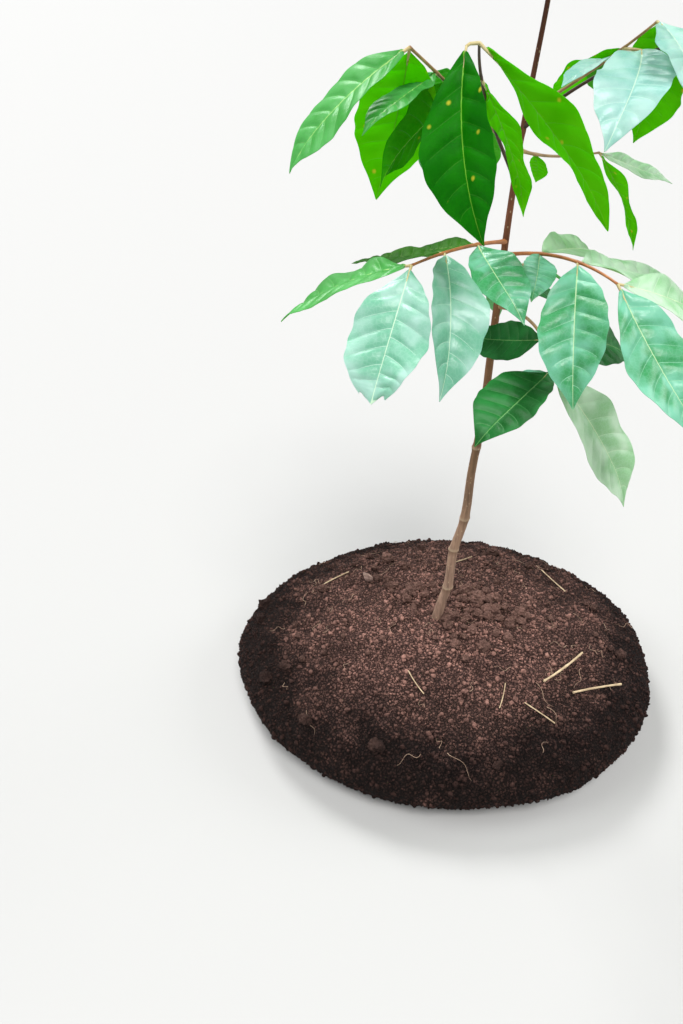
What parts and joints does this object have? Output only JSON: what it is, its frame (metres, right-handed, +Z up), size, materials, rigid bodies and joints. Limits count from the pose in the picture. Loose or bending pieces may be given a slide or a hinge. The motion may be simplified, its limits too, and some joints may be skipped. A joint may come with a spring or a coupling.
{
  "type": "sapling with root ball",
  "caption": "Young broadleaved tree sapling on a low dome-shaped root ball of soil, with a slim curved stem and drooping compound leaves.",
  "frame": {"origin": "middle of the flat underside of the root ball, at floor level", "axes": "+Z up the stem, +X to the right in the picture, +Y away from its camera"},
  "size_m": [0.6609, 0.5819, 1.2512],
  "materials": {
    "soil": "crumbly moist red-brown soil",
    "bark": "tan bark below, red-brown above",
    "leaf": "glossy green leaflets with a pale midrib"
  },
  "bodies": {
    "root": {"root_ball": "soil", "stem": "bark", "leaf_low_right": "leaf", "leaf_low_back": "leaf", "leaf_mid_right": "leaf", "leaf_mid_left": "leaf", "leaf_front": "leaf", "leaf_upper_left": "leaf", "leaf_back_right": "leaf", "leaf_back": "leaf", "leaf_right_front": "leaf", "leaf_right": "leaf", "leaf_crown_1": "leaf", "leaf_crown_2": "leaf", "leaf_crown_3": "leaf", "leaf_crown_4": "leaf", "leaf_crown_5": "leaf", "leaf_crown_6": "leaf", "leaf_crown_7": "leaf"}
  },
  "joints": []
}
